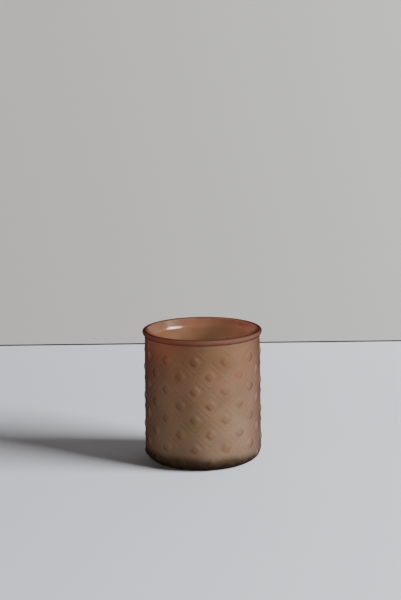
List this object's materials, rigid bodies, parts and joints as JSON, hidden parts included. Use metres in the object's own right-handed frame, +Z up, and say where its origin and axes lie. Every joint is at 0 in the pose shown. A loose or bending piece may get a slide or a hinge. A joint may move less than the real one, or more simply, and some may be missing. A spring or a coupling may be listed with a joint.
{
  "type": "tealight holder",
  "caption": "Frosted pressed-glass cup with a rolled lip and a raised harlequin lattice, holding a tealight that lifts out.",
  "frame": {"origin": "centre of the underside, on the surface that the cup stands on", "axes": "+Z up along the cup's axis; -Y towards the side that is shown from the front"},
  "size_m": [0.0716, 0.0716, 0.08],
  "materials": {
    "frosted_glass": "frosted terracotta to olive brown",
    "aluminium_foil_sheet": "satin",
    "paraffin_wax": "waxy",
    "tinned_steel": "satin",
    "waxed_cotton": "waxed braid"
  },
  "bodies": {
    "holder": {"glass_cup": "frosted_glass"},
    "tealight_shell": {"aluminium_cup": "aluminium_foil_sheet"},
    "candle": {"wax_puck": "paraffin_wax", "wick_sustainer": "tinned_steel", "wick": "waxed_cotton"}
  },
  "joints": [
    {"name": "tealight_lift", "type": "slide", "parent": "holder", "child": "tealight_shell", "axis": [0, 0, 1], "range_m": [0, 0.085]},
    {"name": "candle_lift", "type": "slide", "parent": "tealight_shell", "child": "candle", "axis": [0, 0, 1], "range_m": [0, 0.02]}
  ]
}
